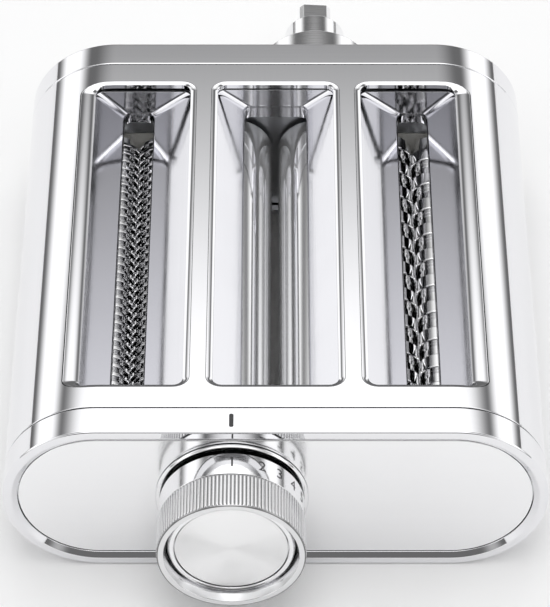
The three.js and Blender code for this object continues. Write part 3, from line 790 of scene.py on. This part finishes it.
def sheet_rollers():
    low, high = span("left_sheet_roller")
    turned(
        "left_roller_steel",
        [
            (AXLE_BORE, low[1]),
            (JOURNAL, low[1]),
            (JOURNAL, ROLLER_Y[0]),
            (ROLLER_RADIUS, ROLLER_Y[0], ROLLER_EDGE),
            (ROLLER_RADIUS, ROLLER_Y[1], ROLLER_EDGE),
            (JOURNAL, ROLLER_Y[1]),
            (JOURNAL, high[1]),
            (AXLE_BORE, high[1]),
        ],
        LEFT_X, LEFT_Z, ROLLER, "left_roller", "left_sheet_roller", slot="roller_steel",
    )
    turned(
        "right_roller_steel",
        [
            (SHAFT_BORE, ROLLER_Y[0]),
            (ROLLER_RADIUS, ROLLER_Y[0], ROLLER_EDGE),
            (ROLLER_RADIUS, ROLLER_Y[1], ROLLER_EDGE),
            (SHAFT_BORE, ROLLER_Y[1]),
        ],
        DRIVE_X, DRIVE_Z, ROLLER, "drive", "right_sheet_roller", slot="roller_steel",
    )


sheet_rollers()

# The noodle's width, the inner cutter's number of ridges and the roundness of a ridge's edge.
CUTTERS = {"spaghetti": (2.0, 36, 0.38), "fettuccine": (6.3, 12, 0.55)}
SIDE_CLEARANCE = 0.3
CUTTER_RADIUS, CUTTER_CORE, CUTTER_JOURNAL = 7.5, 5.6, 3.0
CORE_EDGE = 0.15
MIDDLE_Y = sum(FEED_Y) / 2


def cutter(kind, rank):
    noodle, ridges, edge = CUTTERS[kind]
    if rank == "outer":
        ridges -= 1
    node = f"{kind}_cutter_{rank}"
    low, high = span(node)
    x, z = centre(node)
    width = noodle - SIDE_CLEARANCE
    journal_start = [(0, low[1]), (CUTTER_JOURNAL, low[1]), (CUTTER_JOURNAL, ROLLER_Y[0])]
    journal_end = [(CUTTER_JOURNAL, ROLLER_Y[1]), (CUTTER_JOURNAL, high[1]), (0, high[1])]
    outline = [*journal_start, (CUTTER_CORE, ROLLER_Y[0])]
    for ridge in range(ridges):
        start = MIDDLE_Y + (ridge - (ridges - 1) / 2) * 2 * noodle - width / 2
        outline += [
            (CUTTER_CORE, start, CORE_EDGE),
            (CUTTER_RADIUS, start, edge),
            (CUTTER_RADIUS, start + width, edge),
            (CUTTER_CORE, start + width, CORE_EDGE),
        ]
    outline += [(CUTTER_CORE, ROLLER_Y[1]), *journal_end]
    turned(f"{node}_steel", outline, x, z, CUTTER, f"{kind}_{rank}", node, facets=56, slot="cutter_steel")


for cutter_kind in CUTTERS:
    for cutter_rank in ("inner", "outer"):
        cutter(cutter_kind, cutter_rank)

# ---- Drive end ----

COLLAR_BORE, SLEEVE_BORE = 11.05, 7.1
SHAFT_RADIUS, SHAFT_SHOULDER = 6.5, 228.8
SQUARE_HALF, SQUARE_CHAMFER, SQUARE_LENGTH = 5.55, 1.45, 12.2
SQUARE_TURN = math.radians(-3.5)


def drive_end():
    (_, near, _), (_, far, _) = span("hub_collar")
    radius = node_radius("hub_collar")
    turned(
        "collar_steel",
        [(COLLAR_BORE, near), (radius, near, 0.5), (radius, far, 0.7), (COLLAR_BORE, far, 0.4)],
        DRIVE_X, DRIVE_Z, TURNED, "root", "hub_collar", slot="satin_steel", facets=128,
    )
    (_, near, _), (_, far, _) = span("hub_sleeve")
    radius = node_radius("hub_sleeve")
    turned(
        "sleeve_steel",
        [(SLEEVE_BORE, near), (radius, near), (radius, far, 0.6), (SLEEVE_BORE, far, 0.4)],
        DRIVE_X, DRIVE_Z, TURNED, "root", "hub_sleeve", slot="satin_steel",
    )
    (_, near, _), (_, far, _) = span("drive_shaft")
    skin = Skin()
    rod = [(0, near, 0), (SHAFT_RADIUS, near), (SHAFT_RADIUS, SHAFT_SHOULDER), (0, SHAFT_SHOULDER, 0)]
    rod = rounded(counterclockwise(rod), 0.4, 3)
    skin.grid(sweep_rows(rod, circle(DRIVE_X, DRIVE_Z, 64)), loop=True)
    half, start = SQUARE_HALF, far - SQUARE_LENGTH
    corner = [(half, half - SQUARE_CHAMFER), (half - SQUARE_CHAMFER, half)]
    outline = []
    for quarter in range(4):
        for a, b in corner:
            for _ in range(quarter):
                a, b = -b, a
            outline.append((a, b))
    outline = rounded(outline, 0.3, 3)
    c, s = math.cos(SQUARE_TURN), math.sin(SQUARE_TURN)
    outline = [(a * c - b * s, a * s + b * c) for a, b in outline]
    rows = []
    for inset, y in rounded([(4, start), (0, start), (0, far, 0.6), (4, far)], 0.3, 3, closed=False):
        share = 1 - inset / half
        rows.append([(DRIVE_X + a * share, y, DRIVE_Z + b * share) for a, b in outline])
    skin.grid(rows)
    skin.lid([rows[0]], (0, -1, 0))
    skin.lid([rows[-1]], (0, 1, 0))
    skin.make("drive_shaft_steel", TURNED, "drive", "drive_shaft", slot="satin_steel")


drive_end()


def rear_screw(number):
    node = f"rear_screw_{number}"
    (_, near, _), (_, far, _) = span(node)
    x, z = centre(node)
    head = far - 2.2
    skin = Skin()
    profile = [
        (0, near), (1.9, near), (1.9, head), (3.8, head, 0.2), (3.8, head + 1.1, 0.8), (2.1, far, 0.3),
        (1.7, far, 0.1), (1.7, far - 1.3, 0.1), (0, far - 1.3),
    ]
    outline = rounded(counterclockwise([p if p[0] else (*p[:2], 0) for p in profile]), 0.2, 3)
    rows = []
    for r, y in outline:
        row = []
        for k in range(48):
            a = 2 * math.pi * k / 48
            hexagon = math.cos(math.pi / 6) / math.cos((a % (math.pi / 3)) - math.pi / 6)
            size = r * hexagon if r and r < 1.85 and y > head else r
            row.append((x + size * math.cos(a), y, z + size * math.sin(a)))
        rows.append(row)
    skin.grid(rows, loop=True)
    skin.make(f"{node}_steel", TURNED, "root", node, slot="satin_steel")


for screw in SCREWS:
    rear_screw(screw)

# ---- Dial and knob ----

DIAL = span("dial_skirt")
DIAL_RADIUS = (DIAL[1][0] - DIAL[0][0]) / 2
GRIP = span("knob_grip")
GRIP_RADIUS = (GRIP[1][0] - GRIP[0][0]) / 2
GRIP_FRONT, GRIP_REAR = GRIP[0][1], GRIP[1][1]
DIAL_FLOOR = (-8.1, -5.9)  # front and rear of the dial's floor
DIAL_HOLE, HOLE_CHAMFER = 3.1, 0.3  # half the width of the hole for the axle's square end, its corners


def square_reach(dx, dz):
    """How much further the square hole reaches than its half width, in a direction from the axis."""
    flat = 1 / max(abs(dx), abs(dz))
    corner = (2 - HOLE_CHAMFER / DIAL_HOLE) / (abs(dx) + abs(dz))
    return min(flat, corner)


def dial():
    floor, back = 0.5, span("dial_plate")[1][1]
    turned(
        "dial_ring",
        [
            (5.0, floor), (22.3, floor, 0.12), (22.5, -0.1, 0.1), (23.5, -0.1, 0.3), (23.9, 0.4, 0.2),
            (23.9, back, 0.1), (5.0, back),
        ],
        KNOB_X, KNOB_Z, TURNED, "root", "dial_plate", slot="satin_steel", facets=144,
    )
    front, rear = DIAL[0][1], DIAL[1][1]
    skin = Skin()
    profile = [
        (DIAL_HOLE, DIAL_FLOOR[0]), (20.9, DIAL_FLOOR[0]), (20.9, front), (DIAL_RADIUS, front),
        (DIAL_RADIUS, rear, 0.3), (20.6, rear, 0.3), (20.6, DIAL_FLOOR[1]), (DIAL_HOLE, DIAL_FLOOR[1]),
    ]
    rows = []
    for r, y in rounded(counterclockwise(profile), 0.2, 3):
        row = []
        for x, z, dx, dz in circle(KNOB_X, KNOB_Z, 144):
            size = r * square_reach(dx, dz) if r < DIAL_HOLE + 0.3 else r
            row.append((x + size * dx, y, z + size * dz))
        rows.append(row)
    skin.grid(rows, loop=True)
    skin.make("dial_steel", DIAL_STEEL, "knob", "dial_skirt", slot="polished_steel")


dial()

NUMBER_HEIGHT, NUMBER_MIDDLE, NUMBER_DEPTH = 3.8, -5.2, 0.06
NUMBER_ANGLES = (0, 25, 41, 57, 73, 89, 105, 121)
ONE = [(-0.1, 0), (0.45, 0), (0.45, 3.8), (0.05, 3.8), (-0.65, 3.3), (-0.65, 2.75), (-0.1, 3.1)]


def one_mesh():
    """The numeral 1 with a flag, which the built-in font draws as a bare stroke."""
    count = len(ONE)
    points = [(x, y, z) for z in (NUMBER_DEPTH, -NUMBER_DEPTH) for x, y in ONE]
    sides = [(k, k + count, (k + 1) % count + count, (k + 1) % count) for k in range(count)]
    mesh = bpy.data.meshes.new("numeral")
    mesh.from_pydata(points, [], [list(range(count)), list(range(2 * count - 1, count - 1, -1)), *sides])
    return mesh


def font_mesh(text):
    curve = bpy.data.curves.new(f"numeral_{text}", "FONT")
    curve.body = text
    curve.size = NUMBER_HEIGHT / 0.7
    curve.align_x = "CENTER"
    curve.extrude = NUMBER_DEPTH
    curve.resolution_u = 6
    holder = bpy.data.objects.new("numeral_holder", curve)
    bpy.context.scene.collection.objects.link(holder)
    bpy.context.view_layer.update()
    mesh = bpy.data.meshes.new_from_object(holder)
    bpy.data.objects.remove(holder)
    return mesh


def dial_number(text, turn):
    """A shallow numeral wrapped round the dial, its top towards the casing."""
    mesh = one_mesh() if text == "1" else font_mesh(text)
    low = min(v.co.y for v in mesh.vertices)
    high = max(v.co.y for v in mesh.vertices)
    middle = (min(v.co.x for v in mesh.vertices) + max(v.co.x for v in mesh.vertices)) / 2
    mesh.name = f"numeral_{text}_mesh"
    for v in mesh.vertices:
        angle = math.radians(turn) + (v.co.x - middle) / DIAL_RADIUS
        radius = DIAL_RADIUS - 0.02 + v.co.z
        y = NUMBER_MIDDLE + (v.co.y - (low + high) / 2) * NUMBER_HEIGHT / (high - low)
        v.co = at(KNOB_X + radius * math.sin(angle), y, KNOB_Z + radius * math.cos(angle))
    mesh.materials.clear()
    mesh.materials.append(INK)
    place(bpy.data.objects.new(f"numeral_{text}", mesh), "knob")


for number, turn in enumerate(NUMBER_ANGLES, start=1):
    dial_number(str(number), turn)

SPRING_TURNS, TURN_STEPS, WIRE_SIDES, WIRE_RADIUS = 3, 36, 12, 0.55


def knob_spring():
    """The return spring, held by the screw's head. The real spring shortens as the dial is pulled; this mesh
    keeps one length.
    """
    (_, start, _), (_, end, _) = span("knob_spring")
    coil = node_radius("knob_spring") - WIRE_RADIUS
    steps = SPRING_TURNS * TURN_STEPS
    rows = []
    for step in range(steps + 1):
        angle = 2 * math.pi * step / TURN_STEPS
        y = start + WIRE_RADIUS + (end - start - 2 * WIRE_RADIUS) * step / steps
        row = []
        for side in range(WIRE_SIDES):
            turn = 2 * math.pi * side / WIRE_SIDES
            radius = coil + WIRE_RADIUS * math.cos(turn)
            x, z = KNOB_X + radius * math.cos(angle), KNOB_Z + radius * math.sin(angle)
            row.append((x, y - WIRE_RADIUS * math.sin(turn), z))
        rows.append(row)
    skin = Skin()
    skin.grid(rows)
    skin.lid([rows[0]], (0, 0, -1))
    skin.lid([rows[-1]], (0, 0, 1))
    spring = skin.make("spring_wire", WIRE, "adjuster", "knob_spring", slot="spring_steel")
    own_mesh(spring)


knob_spring()

RIDGES, RIDGE_SAMPLES, GROOVE_DEPTH, BAND_RISE = 120, 8, 0.42, 0.2
GROOVE_SHAPE = (1.0, 0.4, 0.12, 0.03, 0.0, 0.03, 0.12, 0.4)


def knob_grip():
    skin = Skin()
    band = GRIP_FRONT + 0.4
    web_front, web_rear = -19.4, -17.4
    core = GRIP_RADIUS - GROOVE_DEPTH
    start, end = GRIP_REAR - 0.15, band + 0.1
    path = circle(KNOB_X, KNOB_Z, RIDGES * RIDGE_SAMPLES)

    def ring_row(radius, y):
        return [(x + radius * dx, y, z + radius * dz) for x, z, dx, dz in path]

    inner = rounded(
        [
            (21.2, GRIP_REAR),
            (21.2, web_rear),
            (3.0, web_rear),
            (3.0, web_front),
            (19.7, web_front, 0.5),
            (20.9, GRIP_FRONT, 0.25),
            (core, GRIP_FRONT),
        ],
        0.3, 3, closed=False,
    )
    rows = [ring_row(r, y) for r, y in inner]
    reach = 0.9
    ys = [end + (start - end) * k / 24 for k in range(25)]
    for share in (0.1, 0.25, 0.5, 0.75):
        ys += [end + reach * share, start - reach * share]
    ys = sorted(set(ys))
    rows.append(ring_row(core + 0.12, GRIP_FRONT + 0.05))
    rows.append(ring_row(core + 0.2, GRIP_FRONT + 0.2))
    for y in ys:
        near = min(y - end, start - y) / reach
        swell = math.sqrt(max(0.0, 1 - (1 - min(1.0, near)) ** 2))
        row = []
        for k, (x, z, dx, dz) in enumerate(path):
            groove = GROOVE_SHAPE[k % RIDGE_SAMPLES]
            ridge_height = (GROOVE_DEPTH - BAND_RISE) * swell * (1 - groove)
            radius = core + BAND_RISE + ridge_height - BAND_RISE * groove * min(1.0, near * 2)
            row.append((x + radius * dx, y, z + radius * dz))
        rows.append(row)
    rows.append(ring_row(core, GRIP_REAR))
    skin.grid(rows, loop=True)
    skin.make("grip_steel", KNURL, "knob", "knob_grip", slot="satin_steel")


knob_grip()


def knob_face():
    low, high = span("knob_bezel")
    radius = node_radius("knob_bezel")
    turned(
        "bezel_steel",
        [(17.8, high[1]), (radius, high[1]), (radius, low[1], 0.5), (17.8, low[1], 0.3)],
        KNOB_X, KNOB_Z, TURNED, "knob", "knob_bezel", slot="polished_steel", facets=144, steps=5,
    )
    low, high = span("knob_disc")
    radius = node_radius("knob_disc")
    turned(
        "spun_disc",
        [(0, high[1]), (radius, high[1]), (radius, low[1], 0.25), (0, low[1])],
        KNOB_X, KNOB_Z, SPUN, "knob", "knob_disc", slot="spun_steel", facets=144,
    )


knob_face()

# ---- CAD nodes that show as they are ----

NODE_MATERIALS = (
    (PLATE, ("front_plate", "rear_plate", "tie_rod", "scraper_hanger", "eccentric_axle")),
    (GEAR, ("drive_gear", "left_roller_gear", "spaghetti_gear", "fettuccine_gear", "pair_gear")),
    (WIRE, ("comb", "index_pin", "retaining_screw")),
    (BLACK_NYLON, ("left_scraper", "right_scraper")),
    (WHITE_NYLON, ("bush", "block")),
)
for node_name, node_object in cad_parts.items():
    for material, words in NODE_MATERIALS:
        if not node_object.hide_render and any(word in node_name for word in words):
            node_object.data.materials.clear()
            node_object.data.materials.append(material)

# ---- Studio ----

FLOOR_SIZE, FLOOR_DROP = 12.0, 0.0002  # metres
WORLD_STRENGTH = 0.16


def floor():
    """A plain pale floor."""
    material = bpy.data.materials.new("floor_paper")
    material.use_nodes = True
    n = Nodes(material.node_tree)
    paper = n.add("ShaderNodeBsdfDiffuse", {"Color": (0.95, 0.95, 0.95, 1)})
    n.add("ShaderNodeOutputMaterial", {"Surface": paper.outputs[0]})
    half = FLOOR_SIZE / 2
    mesh = bpy.data.meshes.new("floor")
    corners = [(-half, -half), (half, -half), (half, half), (-half, half)]
    mesh.from_pydata([(x, y, -FLOOR_DROP) for x, y in corners], [], [range(4)])
    mesh.materials.append(material)
    sheet = bpy.data.objects.new("floor", mesh)
    bpy.context.scene.collection.objects.link(sheet)


floor()

SOFTBOX_DISTANCE, SOFT_EDGE = 2.4, 0.34


def softbox(name, bearing, elevation, width, height, strength):
    """A soft light that faces the machine and fades towards its edges, as a real softbox does."""
    lamp = bpy.data.lights.new(name, "AREA")
    lamp.shape = "RECTANGLE"
    lamp.size, lamp.size_y = width, height
    lamp.energy = math.pi * width * height * strength
    lamp.use_nodes = True
    n = Nodes(lamp.node_tree)
    cloth = n.add("ShaderNodeNewGeometry").outputs["Parametric"]
    fade = 1.0
    for across in n.add("ShaderNodeSeparateXYZ", {"Vector": cloth}).outputs[:2]:
        edge = n.math("MINIMUM", across, n.math("SUBTRACT", 1.0, across))
        fade = n.math("MULTIPLY", fade, n.remap(edge, 0.0, SOFT_EDGE, 0.0, 1.0))
    emission = n.add("ShaderNodeEmission", {"Strength": fade})
    n.add("ShaderNodeOutputLight", {"Surface": emission.outputs[0]})
    turn, tilt = math.radians(bearing), math.radians(elevation)
    away = Vector((math.cos(tilt) * math.sin(turn), -math.cos(tilt) * math.cos(turn), math.sin(tilt)))
    light = bpy.data.objects.new(name, lamp)
    light.location = SOFTBOX_DISTANCE * away
    light.rotation_euler = away.to_track_quat("Z", "Y").to_euler()
    light.visible_camera = False
    bpy.context.scene.collection.objects.link(light)


# Name, bearing and elevation in degrees, width and height in metres, brightness.
softbox("softbox_top", 0, 90, 2.0, 2.0, 2.8)
softbox("softbox_front", 0, 58, 4.4, 2.0, 1.25)
softbox("softbox_back", 180, 58, 4.4, 2.0, 1.25)
softbox("softbox_left", -90, 28, 4.0, 2.8, 1.1)
softbox("softbox_right", 90, 28, 4.0, 2.8, 1.1)
for corner in (45, 135, 225, 315):
    softbox(f"softbox_corner_{corner}", corner, 17, 2.4, 1.3, 1.1)

world = bpy.data.worlds.new("studio")
world.use_nodes = True
sky = Nodes(world.node_tree)
backdrop = sky.add("ShaderNodeBackground", {"Color": (1, 1, 1, 1), "Strength": WORLD_STRENGTH})
sky.add("ShaderNodeOutputWorld", {"Surface": backdrop.outputs[0]})
bpy.context.scene.world = world
bpy.context.scene.view_settings.view_transform = "Standard"
